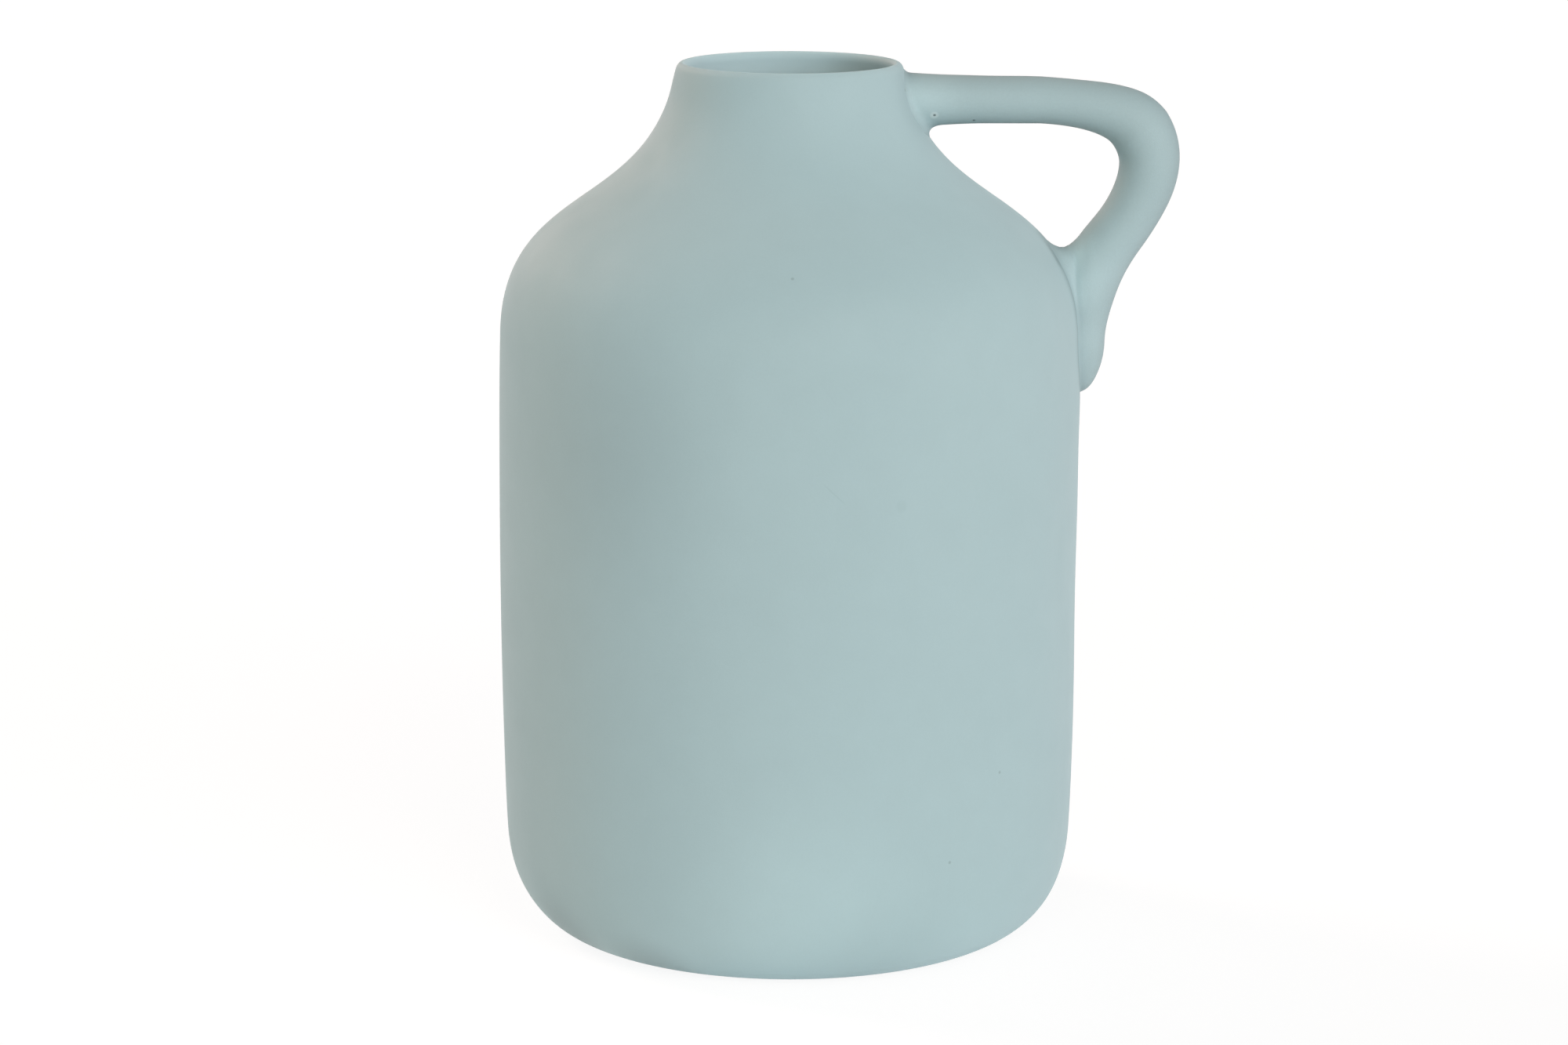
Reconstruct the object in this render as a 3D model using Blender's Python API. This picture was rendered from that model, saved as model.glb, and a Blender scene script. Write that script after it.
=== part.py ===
"""A handled stoneware vase: a hollow turned pot, a bent round handle, and the slip that joins the two.

Metres, +Z up. The origin is the centre of the flat foot, and the handle reaches out along +X.
"""
import math

import bmesh
import bpy
from mathutils import Vector
from mathutils.geometry import interpolate_bezier

# Outside of the pot
HEIGHT = 0.300
FOOT_RADIUS = 0.0720
BASE_ROUND_HEIGHT = 0.034
BELLY_RADIUS = 0.0997
BELLY_HEIGHT = 0.131
WALL_BOW_RADIUS = 3.0
SHOULDER_DROP = 0.0915
SHOULDER_PULL = 0.0505
NECK_PULL = 0.0515
NECK_LEAN = math.radians(9.4)

# Inside of the pot
MOUTH_RADIUS = 0.0348
LIP_THICKNESS = 0.0038
LIP_ROUND_HEIGHT = 0.0025
WALL_THICKNESS = 0.0045
FLOOR_THICKNESS = 0.0060

# Handle: heights are measured down from the lip's top, reaches outwards from the belly
BAR_DROP = 0.0127
BAR_RADIUS = 0.0079
ROOT_RADIUS = 0.0095
ROOT_TAPER_LENGTH = 0.036
CORNER_START_INSIDE_BELLY = 0.0146
CORNER_START_TILT = math.radians(-2.4)
CORNER_START_PULL = 0.0160
CROWN_OUTSIDE_BELLY = 0.0193
CROWN_DROP = 0.0229
CROWN_TILT = math.radians(-52.6)
CROWN_PULL_BEFORE = 0.0091
CROWN_PULL_AFTER = 0.0116
CROWN_RADIUS = 0.0106
LEG_OUTSIDE_BELLY = 0.0129
LEG_DROP = 0.0569
LEG_TILT = math.radians(-127.0)
LEG_PULL_BEFORE = 0.0132
LEG_PULL_AFTER = 0.0150
LEG_RADIUS = 0.0096
LANDING_DROP = 0.0950
LANDING_PULL = 0.0133
TAIL_RADIUS = 0.0091
TAIL_ROUND_LENGTH = 0.0180

# Joints: the clay is smoothed out onto the pot above, beside and below the handle by these radii
UPPER_FILLET_ABOVE = 0.0020
UPPER_FILLET_BESIDE = 0.0030
UPPER_FILLET_BELOW = 0.0068
LOWER_FILLET_ABOVE = 0.0184
LOWER_FILLET_BESIDE = 0.0022
LOWER_FILLET_BELOW = 0.0016
SLIP_THICKNESS = 0.0008
CLEARANCE = 0.0003

# Facets
AROUND_POT = 60
BASE_STEPS = 7
WALL_STEPS = 5
SHOULDER_STEPS = 16
OUTER_LIP_STEPS = 4
INNER_LIP_STEPS = 5
AROUND_HANDLE = 28
ROOT_STEPS = 16
BAR_STEPS = 4
CORNER_STEPS = 10
LEG_STEPS = 8
LANDING_STEPS = 10
TAIL_STEPS = 5
SMOOTH_ANGLE = math.radians(35)
WELD_DISTANCE = 1e-6

CIRCLE_PULL = 4 / 3 * math.tan(math.pi / 8)

GLAZE_COLOUR = (0.405, 0.530, 0.545, 1.0)
HANDLE_GLAZE_COLOUR = (0.395, 0.520, 0.530, 1.0)
SLIP_COLOUR = (0.360, 0.475, 0.485, 1.0)
GLAZE_ROUGHNESS = 0.62


def clear_scene():
    for item in list(bpy.data.objects):
        bpy.data.objects.remove(item, do_unlink=True)


def make_material(name, colour, roughness):
    material = bpy.data.materials.new(name)
    material.use_nodes = True
    shader = material.node_tree.nodes["Principled BSDF"]
    shader.inputs["Base Color"].default_value = colour
    shader.inputs["Roughness"].default_value = roughness
    shader.inputs["Metallic"].default_value = 0.0
    material.diffuse_color = colour
    return material


# Curves in a flat plane, as two-value vectors: across, then up

def direction(angle):
    return Vector((math.cos(angle), math.sin(angle)))


def bezier(start, start_pull, end_pull, end, steps):
    """Points of a cubic curve, whose pulls are vectors along the curve's way at its two ends."""
    return interpolate_bezier(start, start + start_pull, end - end_pull, end, steps + 1)


def straight(start, end, steps):
    return [start.lerp(end, step / steps) for step in range(steps + 1)]


def normals_right(points):
    """Unit normals to the right of a chain of points, each from the chord between its neighbours."""
    result = []
    for index in range(len(points)):
        before = points[max(index - 1, 0)]
        after = points[min(index + 1, len(points) - 1)]
        way = (after - before).normalized()
        result.append(Vector((way.y, -way.x)))
    return result


def offset(points, distances):
    return [point + normal * distance
            for point, normal, distance in zip(points, normals_right(points), distances)]


# Profile of the pot, from the foot up to the lip

def wall_radius(z):
    rise = z - BELLY_HEIGHT
    return BELLY_RADIUS - WALL_BOW_RADIUS + math.sqrt(WALL_BOW_RADIUS ** 2 - rise ** 2)


def up_the_wall(z):
    return direction(math.pi / 2 + math.asin((z - BELLY_HEIGHT) / WALL_BOW_RADIUS))


def base_curve(floor_start, wall_end):
    run = (wall_end.x - floor_start.x) * CIRCLE_PULL
    rise = (wall_end.y - floor_start.y) * CIRCLE_PULL
    return bezier(floor_start, Vector((run, 0)), up_the_wall(BASE_ROUND_HEIGHT) * rise, wall_end, BASE_STEPS)


def wall_curve():
    bottom = BASE_ROUND_HEIGHT
    rise = HEIGHT - SHOULDER_DROP - bottom
    heights = [bottom + rise * step / WALL_STEPS for step in range(WALL_STEPS + 1)]
    return [Vector((wall_radius(z), z)) for z in heights]


def lip_point(angle):
    """A point on the lip's rounded top, by its angle about the lip's centre."""
    half_width = LIP_THICKNESS / 2
    centre = Vector((MOUTH_RADIUS + half_width, HEIGHT - LIP_ROUND_HEIGHT))
    return centre + Vector((half_width * math.cos(angle), LIP_ROUND_HEIGHT * math.sin(angle)))


def lip_arc(start, end, steps):
    return [lip_point(start + (end - start) * step / steps) for step in range(steps + 1)]


def lip_turn():
    """The angle on the lip's rounded top at which its side leans as the neck does."""
    return math.atan(math.tan(NECK_LEAN) * LIP_ROUND_HEIGHT / (LIP_THICKNESS / 2))


def shoulder_curve():
    start_height = HEIGHT - SHOULDER_DROP
    start = Vector((wall_radius(start_height), start_height))
    end = lip_point(lip_turn())
    start_pull = up_the_wall(start_height) * SHOULDER_PULL
    end_pull = direction(NECK_LEAN + math.pi / 2) * NECK_PULL
    return bezier(start, start_pull, end_pull, end, SHOULDER_STEPS)


def outside():
    """The outer profile from the foot's edge to the lip's top."""
    wall = wall_curve()
    base = base_curve(Vector((FOOT_RADIUS, 0)), wall[0])
    lip = lip_arc(lip_turn(), math.pi / 2, OUTER_LIP_STEPS)
    return base[:-1] + wall[:-1] + shoulder_curve()[:-1] + lip


def inside():
    """The inner profile from the lip's top down to the floor's centre."""
    lip = lip_arc(math.pi / 2, math.pi + lip_turn(), INNER_LIP_STEPS)
    wall = offset(wall_curve(), [-WALL_THICKNESS] * (WALL_STEPS + 1))
    thinning = (LIP_THICKNESS - WALL_THICKNESS) / SHOULDER_STEPS
    thickness = [-WALL_THICKNESS - thinning * step for step in range(SHOULDER_STEPS + 1)]
    shoulder = offset(shoulder_curve(), thickness)
    base = base_curve(Vector((FOOT_RADIUS, FLOOR_THICKNESS)), wall[0])
    upward = base[:-1] + wall[:-1] + shoulder[:-1]
    return lip + upward[::-1] + [Vector((0, FLOOR_THICKNESS))]


# Meshes

def finish_object(name, bm, material):
    """A named object from a mesh in the making, shaded smooth and facing out."""
    bmesh.ops.recalc_face_normals(bm, faces=bm.faces)
    mesh = bpy.data.meshes.new(name)
    bm.to_mesh(mesh)
    bm.free()
    return place_object(name, mesh, material)


def place_object(name, mesh, material):
    mesh.shade_smooth()
    mesh.set_sharp_from_angle(angle=SMOOTH_ANGLE)
    item = bpy.data.objects.new(name, mesh)
    bpy.context.collection.objects.link(item)
    if material:
        mesh.materials.append(material)
    return item


def turned(name, profile, material=None):
    """A solid turned about Z from a profile that starts and ends on the axis, or closes on itself."""
    bm = bmesh.new()
    verts = [bm.verts.new((point.x, 0, point.y)) for point in profile]
    edges = [bm.edges.new(pair) for pair in zip(verts, verts[1:])]
    bmesh.ops.spin(bm, geom=verts + edges, cent=(0, 0, 0), axis=(0, 0, 1), angle=math.tau, steps=AROUND_POT)
    bmesh.ops.remove_doubles(bm, verts=bm.verts, dist=WELD_DISTANCE)
    return finish_object(name, bm, material)


def as_cutter(item):
    item.hide_render = True
    item.display_type = "WIRE"
    return item


def pot_envelope(margin):
    """A solid that fills the pot's whole outline and stands out from it by a margin."""
    profile = outside()
    skin = offset(profile, [margin] * len(profile))
    under = Vector((0, skin[0].y))
    over = Vector((0, skin[-1].y))
    return as_cutter(turned("pot_envelope", [under] + skin + [over]))


def slip_band(name, low, high):
    """A thin ring that follows the pot's outside between two heights, as thick as the slip."""
    profile = [point for point in outside() if low <= point.y <= high]
    inner = offset(profile, [CLEARANCE] * len(profile))
    outer = offset(profile, [CLEARANCE + SLIP_THICKNESS] * len(profile))
    return as_cutter(turned(name, inner + outer[::-1] + inner[:1]))


def cut(item, cutter, operation):
    modifier = item.modifiers.new("Cope to the pot", "BOOLEAN")
    modifier.operation = operation
    modifier.solver = "EXACT"
    modifier.object = cutter


# Handle

def ease(share):
    return share * share * (3 - 2 * share)


def swell(share):
    return share ** 1.5


def stretch(curve, start_radius, end_radius, easing):
    """Pairs of centre and radius along one stretch of the handle, without its last point."""
    last = len(curve) - 1
    growth = end_radius - start_radius
    return [(point, start_radius + growth * easing(index / last)) for index, point in enumerate(curve[:-1])]


def leg_height():
    """The height of the leg's middle, which lies between the two joints."""
    return HEIGHT - LEG_DROP


def handle_stations():
    """Centres and radii of the handle's round sections, from inside the neck to the tail's tip."""
    bar_height = HEIGHT - BAR_DROP
    root_in = Vector((MOUTH_RADIUS - ROOT_RADIUS / 2, bar_height))
    root_out = root_in + Vector((ROOT_TAPER_LENGTH, 0))
    corner = Vector((BELLY_RADIUS - CORNER_START_INSIDE_BELLY, bar_height))
    crown = Vector((BELLY_RADIUS + CROWN_OUTSIDE_BELLY, HEIGHT - CROWN_DROP))
    leg = Vector((BELLY_RADIUS + LEG_OUTSIDE_BELLY, leg_height()))
    landing_height = HEIGHT - LANDING_DROP
    landing = Vector((wall_radius(landing_height), landing_height))
    down = direction(-math.pi / 2)

    root_curve = straight(root_in, root_out, ROOT_STEPS)
    bar_curve = straight(root_out, corner, BAR_STEPS)
    corner_curve = bezier(corner, direction(CORNER_START_TILT) * CORNER_START_PULL,
                          direction(CROWN_TILT) * CROWN_PULL_BEFORE, crown, CORNER_STEPS)
    leg_curve = bezier(crown, direction(CROWN_TILT) * CROWN_PULL_AFTER,
                       direction(LEG_TILT) * LEG_PULL_BEFORE, leg, LEG_STEPS)
    landing_curve = bezier(leg, direction(LEG_TILT) * LEG_PULL_AFTER, down * LANDING_PULL, landing, LANDING_STEPS)

    stations = stretch(root_curve, ROOT_RADIUS, BAR_RADIUS, ease)
    stations += stretch(bar_curve, BAR_RADIUS, BAR_RADIUS, ease)
    stations += stretch(corner_curve, BAR_RADIUS, CROWN_RADIUS, swell)
    stations += stretch(leg_curve, CROWN_RADIUS, LEG_RADIUS, ease)
    stations += stretch(landing_curve, LEG_RADIUS, TAIL_RADIUS, ease)
    for step in range(TAIL_STEPS):
        turn = math.pi / 2 * step / TAIL_STEPS
        z = landing_height - TAIL_ROUND_LENGTH * math.sin(turn)
        stations.append((Vector((wall_radius(z), z)), TAIL_RADIUS * math.cos(turn)))
    tip_height = landing_height - TAIL_ROUND_LENGTH
    return stations, Vector((wall_radius(tip_height), tip_height))


def swept_handle():
    """The handle's closed skin before it is coped: round sections strung along its centre line."""
    stations, tip = handle_stations()
    centres = [centre for centre, radius in stations]
    bm = bmesh.new()
    rings = []
    for (centre, radius), right in zip(stations, normals_right(centres + [tip])):
        ring = []
        for index in range(AROUND_HANDLE):
            turn = math.tau * index / AROUND_HANDLE
            in_plane = centre - right * (radius * math.cos(turn))
            ring.append(bm.verts.new((in_plane.x, radius * math.sin(turn), in_plane.y)))
        rings.append(ring)
    for ring, following in zip(rings, rings[1:]):
        for index in range(AROUND_HANDLE):
            beside = (index + 1) % AROUND_HANDLE
            bm.faces.new((ring[index], ring[beside], following[beside], following[index]))
    tip_vert = bm.verts.new((tip.x, 0, tip.y))
    for index in range(AROUND_HANDLE):
        bm.faces.new((rings[-1][index], rings[-1][(index + 1) % AROUND_HANDLE], tip_vert))
    bm.faces.new(rings[0])
    bmesh.ops.recalc_face_normals(bm, faces=bm.faces)
    return bm


def above_pot(position, profile):
    """How far a point stands off the pot's outside, and the pot's outward normal beneath it."""
    across = Vector((position.x, position.y))
    place = Vector((across.length, position.z))
    nearest = None
    for low, high in zip(profile, profile[1:]):
        run = high - low
        share = min(max((place - low).dot(run) / run.length_squared, 0), 1)
        away = place - low - run * share
        if nearest is None or away.length < nearest[0].length:
            nearest = away, Vector((run.y, -run.x)).normalized()
    away, normal = nearest
    height = math.copysign(away.length, away.dot(normal))
    outward = across.normalized() * normal.x
    return height, Vector((outward.x, outward.y, normal.y))


def fillet_radius(at_upper_joint, upness):
    """The hollow round's radius on the side of a joint that faces up, sideways or down."""
    if at_upper_joint:
        above, beside, below = UPPER_FILLET_ABOVE, UPPER_FILLET_BESIDE, UPPER_FILLET_BELOW
    else:
        above, beside, below = LOWER_FILLET_ABOVE, LOWER_FILLET_BESIDE, LOWER_FILLET_BELOW
    return beside + (above - beside) * max(upness, 0) ** 2 + (below - beside) * max(-upness, 0) ** 2


def smooth_out_onto_pot(bm):
    """Spread the handle's ends along the pot in a hollow round, as a finger smooths the clay."""
    profile = outside()
    bm.normal_update()
    moves = []
    for vert in bm.verts:
        height, outward = above_pot(vert.co, profile)
        along = vert.normal - outward * vert.normal.dot(outward)
        if along.length < WELD_DISTANCE:
            continue
        radius = fillet_radius(vert.co.z > leg_height(), along.normalized().z)
        if height < radius:
            rest = radius - max(height, 0)
            moves.append((vert, along * (radius - math.sqrt(radius ** 2 - rest ** 2))))
    for vert, move in moves:
        vert.co += move


def build():
    clear_scene()
    body_glaze = make_material("body_glaze", GLAZE_COLOUR, GLAZE_ROUGHNESS)
    handle_glaze = make_material("handle_glaze", HANDLE_GLAZE_COLOUR, GLAZE_ROUGHNESS)
    slip = make_material("joint_slip", SLIP_COLOUR, GLAZE_ROUGHNESS)

    profile = [Vector((0, 0))] + outside() + inside()[1:]
    turned("vase_body", profile, body_glaze)

    handle_skin = swept_handle()
    smooth_out_onto_pot(handle_skin)
    handle = finish_object("handle", handle_skin, handle_glaze)
    cut(handle, pot_envelope(CLEARANCE + SLIP_THICKNESS + CLEARANCE), "DIFFERENCE")

    joints = (("upper_slip_joint", leg_height(), HEIGHT), ("lower_slip_joint", BASE_ROUND_HEIGHT, leg_height()))
    for name, low, high in joints:
        mesh = handle.data.copy()
        mesh.materials.clear()
        pad = place_object(name, mesh, slip)
        cut(pad, slip_band(name + "_band", low, high), "INTERSECT")


build()
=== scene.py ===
import math

import bpy
import numpy as np
from mathutils import Matrix, Vector
from mathutils.geometry import interpolate_bezier
from mathutils.kdtree import KDTree


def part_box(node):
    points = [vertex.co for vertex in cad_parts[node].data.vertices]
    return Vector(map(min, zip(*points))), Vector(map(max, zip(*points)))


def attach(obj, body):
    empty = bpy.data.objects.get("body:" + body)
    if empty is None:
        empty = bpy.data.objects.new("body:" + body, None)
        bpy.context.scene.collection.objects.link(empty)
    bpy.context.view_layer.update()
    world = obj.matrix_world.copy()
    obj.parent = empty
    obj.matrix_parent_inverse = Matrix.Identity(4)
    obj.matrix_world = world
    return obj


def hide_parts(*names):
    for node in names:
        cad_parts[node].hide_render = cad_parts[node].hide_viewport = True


# The looks of a handled stoneware vase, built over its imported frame. Metres, +Z up, handle along +X.

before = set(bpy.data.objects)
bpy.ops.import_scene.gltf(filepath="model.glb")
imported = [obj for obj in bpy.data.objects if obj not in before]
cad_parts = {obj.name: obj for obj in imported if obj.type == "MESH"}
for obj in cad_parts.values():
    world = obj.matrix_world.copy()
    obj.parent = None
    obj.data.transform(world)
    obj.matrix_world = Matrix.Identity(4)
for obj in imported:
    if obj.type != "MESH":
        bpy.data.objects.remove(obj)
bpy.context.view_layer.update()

# Sizes of the pot, the same as in its solids
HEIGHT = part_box("vase_body")[1].z
BELLY_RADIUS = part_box("vase_body")[1].x
BELLY_HEIGHT = 0.131
FOOT_RADIUS = 0.0720
BASE_ROUND_HEIGHT = 0.034
WALL_BOW_RADIUS = 3.0
SHOULDER_DROP = 0.0915
SHOULDER_PULL = 0.0505
NECK_PULL = 0.0515
NECK_LEAN = math.radians(9.4)
MOUTH_RADIUS = 0.0348
LIP_THICKNESS = 0.0038
LIP_ROUND_HEIGHT = 0.0025
WALL_THICKNESS = 0.0045
FLOOR_THICKNESS = 0.0060

# Sizes of the handle: heights down from the lip's top, reaches outwards from the belly
BAR_DROP = 0.0127
BAR_RADIUS = 0.0079
ROOT_RADIUS = 0.0095
ROOT_TAPER_LENGTH = 0.036
CORNER_START_INSIDE_BELLY = 0.0146
CORNER_START_TILT = math.radians(-2.4)
CORNER_START_PULL = 0.0160
CROWN_OUTSIDE_BELLY = 0.0193
CROWN_DROP = 0.0229
CROWN_TILT = math.radians(-52.6)
CROWN_PULL_BEFORE = 0.0091
CROWN_PULL_AFTER = 0.0116
CROWN_RADIUS = 0.0106
LEG_OUTSIDE_BELLY = 0.0129
LEG_DROP = 0.0569
LEG_TILT = math.radians(-127.0)
LEG_PULL_BEFORE = 0.0132
LEG_PULL_AFTER = 0.0150
LEG_RADIUS = 0.0096
LANDING_DROP = 0.0950
LANDING_PULL = 0.0133
TAIL_RADIUS = 0.0091
TAIL_ROUND_LENGTH = 0.0180

# The hollow rounds by which the handle's two ends run out onto the pot, and the slip in them
UPPER_FILLET_ABOVE = 0.0034
UPPER_FILLET_BESIDE = 0.0036
UPPER_FILLET_BELOW = 0.0048
LOWER_FILLET_ABOVE = 0.0112
LOWER_FILLET_BESIDE = 0.0016
LOWER_FILLET_BELOW = 0.0014
DEEPEST_UNDERCUT = 0.50
SLIP_TOP = 0.0011
SLIP_SINK = 0.0002
CREASE_BITE = 0.00025

# Painted shade along the seams, for the shadow and occlusion there: how strongly, and how far out on
# the pot and up the handle
UPPER_SEAM_SHADE = 0.22
UPPER_SEAM_SHADE_WIDTH = 0.0080
LOWER_SEAM_SHADE = 0.85
LOWER_SEAM_SHADE_WIDTH = 0.0055
HANDLE_SEAM_SHADE_WIDTH = 0.0007

# How far the visible skin stays inside the solids' box, and the body that every piece moves with
FRAME_MARGIN = 0.00001
ROOT_BODY = "root"

# How fine the surfaces are
AROUND_POT = 240
CROWDING_AT_HANDLE = 0.62
BASE_STEPS = 36
WALL_STEPS = 80
SHOULDER_STEPS = 90
OUTER_LIP_STEPS = 8
INNER_LIP_STEPS = 12
AROUND_HANDLE = 80
ROOT_STEPS = 50
BAR_STEPS = 26
CORNER_STEPS = 46
LEG_STEPS = 40
LANDING_STEPS = 56
TAIL_STEPS = 26
SEATING_ROUNDS = 4
CORNER_RELAXINGS = 60
CORNER_LEAST_STEP = 0.00045
NEARLY_NOTHING = 1e-9

# Heights over the pot at which the handle's skin is cut, so that the hollow rounds have fine rows
FILLET_LEVELS = (-SLIP_SINK, 0, 0.00005, 0.00015, 0.0003, 0.0005, 0.0008, SLIP_TOP,
                 0.0015, 0.0020, 0.0027, 0.0036, 0.0050, 0.0068, 0.0090)

# Pull of a curve's end, as a share of its radius, that makes a quarter circle
CIRCLE_PULL = 4 / 3 * math.tan(math.pi / 8)
SWELL_POWER = 1.5


# Flat curves, as two-value vectors: across, then up

def direction(angle):
    return Vector((math.cos(angle), math.sin(angle)))


def bezier(start, start_pull, end_pull, end, steps):
    return interpolate_bezier(start, start + start_pull, end - end_pull, end, steps + 1)


def straight(start, end, steps):
    return [start.lerp(end, step / steps) for step in range(steps + 1)]


def normals_right(points):
    result = []
    for index in range(len(points)):
        before = points[max(index - 1, 0)]
        after = points[min(index + 1, len(points) - 1)]
        way = (after - before).normalized()
        result.append(Vector((way.y, -way.x)))
    return result


def offset(points, distances):
    return [point + normal * distance
            for point, normal, distance in zip(points, normals_right(points), distances)]


def ease(share):
    return share * share * (3 - 2 * share)


def swell(share):
    return share ** SWELL_POWER


# Profile of the pot

def wall_radius(z):
    rise = z - BELLY_HEIGHT
    return BELLY_RADIUS - WALL_BOW_RADIUS + math.sqrt(WALL_BOW_RADIUS ** 2 - rise ** 2)


def up_the_wall(z):
    return direction(math.pi / 2 + math.asin((z - BELLY_HEIGHT) / WALL_BOW_RADIUS))


def base_curve(floor_start, wall_end, steps):
    run = (wall_end.x - floor_start.x) * CIRCLE_PULL
    rise = (wall_end.y - floor_start.y) * CIRCLE_PULL
    return bezier(floor_start, Vector((run, 0)), up_the_wall(BASE_ROUND_HEIGHT) * rise, wall_end, steps)


def wall_curve(steps):
    rise = HEIGHT - SHOULDER_DROP - BASE_ROUND_HEIGHT
    heights = [BASE_ROUND_HEIGHT + rise * step / steps for step in range(steps + 1)]
    return [Vector((wall_radius(z), z)) for z in heights]


def lip_point(angle):
    half_width = LIP_THICKNESS / 2
    centre = Vector((MOUTH_RADIUS + half_width, HEIGHT - LIP_ROUND_HEIGHT))
    return centre + Vector((half_width * math.cos(angle), LIP_ROUND_HEIGHT * math.sin(angle)))


def lip_arc(start, end, steps):
    return [lip_point(start + (end - start) * step / steps) for step in range(steps + 1)]


def lip_turn():
    return math.atan(math.tan(NECK_LEAN) * LIP_ROUND_HEIGHT / (LIP_THICKNESS / 2))


def shoulder_curve(steps):
    start_height = HEIGHT - SHOULDER_DROP
    start = Vector((wall_radius(start_height), start_height))
    start_pull = up_the_wall(start_height) * SHOULDER_PULL
    end_pull = direction(NECK_LEAN + math.pi / 2) * NECK_PULL
    return bezier(start, start_pull, end_pull, lip_point(lip_turn()), steps)


def outside():
    wall = wall_curve(WALL_STEPS)
    base = base_curve(Vector((FOOT_RADIUS, 0)), wall[0], BASE_STEPS)
    lip = lip_arc(lip_turn(), math.pi / 2, OUTER_LIP_STEPS)
    return base[:-1] + wall[:-1] + shoulder_curve(SHOULDER_STEPS)[:-1] + lip


def inside():
    """The inner profile from the lip's top down to the floor's centre, in wider steps."""
    wall_steps = WALL_STEPS // 3
    shoulder_steps = SHOULDER_STEPS // 2
    lip = lip_arc(math.pi / 2, math.pi + lip_turn(), INNER_LIP_STEPS)
    wall = offset(wall_curve(wall_steps), [-WALL_THICKNESS] * (wall_steps + 1))
    thinning = (LIP_THICKNESS - WALL_THICKNESS) / shoulder_steps
    thickness = [-WALL_THICKNESS - thinning * step for step in range(shoulder_steps + 1)]
    shoulder = offset(shoulder_curve(shoulder_steps), thickness)
    base = base_curve(Vector((FOOT_RADIUS, FLOOR_THICKNESS)), wall[0], BASE_STEPS // 2)
    upward = base[:-1] + wall[:-1] + shoulder[:-1]
    return lip + upward[::-1]


# What the potter's hand and the kiln left on the round pot, as swellings (positive) and hollows:
# how far the skin stands out, the height of the middle, the reach up and down, and where round the pot
TAIL_NARROWNESS = 12
POT_UNEVENNESS = (
    (0.00055, 0.187, 0.013, "below the tail"),
    (-0.00062, 0.118, 0.032, "handle's side"),
    (0.00018, 0.196, 0.026, "far side"),
    (0.00045, 0.258, 0.026, "far side"),
    (0.00010, 0.2935, 0.0045, "all round"),
    (0.00010, 0.2935, 0.0045, "far side"),
    (-0.00028, HEIGHT, 0.0022, "all round"),
    (-0.00026, 0.027, 0.011, "all round"),
    (0.00030, 0.009, 0.010, "sideways"),
    (-0.00006, 0.150, 0.080, "front and back"),
)


def bell(distance, width):
    return np.exp(-(distance / width) ** 2)


def swelling(angle, z):
    """How far the skin stands out from its turned shape, at angles from the handle and at heights."""
    sideways = np.cos(angle)
    share = {
        "all round": 1,
        "sideways": sideways,
        "handle's side": np.maximum(sideways, 0),
        "far side": np.maximum(-sideways, 0),
        "below the tail": np.maximum(sideways, 0) ** TAIL_NARROWNESS,
        "front and back": 1 - sideways ** 2,
    }
    return sum(most * bell(z - middle, reach) * share[side]
               for most, middle, reach, side in POT_UNEVENNESS)


# What bending and smoothing left on the round bar: a place by the skin, the reach, and the rise there
HANDLE_UNEVENNESS = (
    ((0.0615, 0, 0.2952), 0.0100, 0.00038),
    ((0.0780, 0, 0.2952), 0.0090, 0.00024),
    ((0.1000, 0, 0.2945), 0.0100, -0.00034),
    ((0.1220, 0, 0.2885), 0.0085, 0.00055),
    ((0.1324, 0, 0.2690), 0.0140, -0.00016),
    ((0.1262, 0, 0.2450), 0.0110, -0.00034),
    ((0.1108, 0, 0.2175), 0.0100, 0.00060),
    ((0.1040, 0, 0.1935), 0.0060, -0.00034),
    ((0.0984, 0, 0.2392), 0.0070, 0.00085),
    ((0.0985, -0.0088, 0.2290), 0.0065, 0.00065),
    ((0.0985, 0.0088, 0.2290), 0.0065, 0.00065),
    ((0.0988, -0.0092, 0.2190), 0.0065, 0.00055),
    ((0.0988, 0.0092, 0.2190), 0.0065, 0.00055),
)


def uneven(points, normals):
    """Points of the handle's skin moved in or out by the bar's unevenness."""
    height = np.zeros(len(points))
    for place, reach, most in HANDLE_UNEVENNESS:
        distance = np.linalg.norm(points - place, axis=1)
        height += most * bell(distance, reach)
    return points + normals * height[:, None]


# Handle

def stretch(curve, start_radius, end_radius, easing):
    """The places of a curve but its last, each with a radius that goes from one radius to another."""
    last = len(curve) - 1
    growth = end_radius - start_radius
    return [(place, start_radius + growth * easing(index / last))
            for index, place in enumerate(curve[:-1])]


def leg_height():
    return HEIGHT - LEG_DROP


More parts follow.
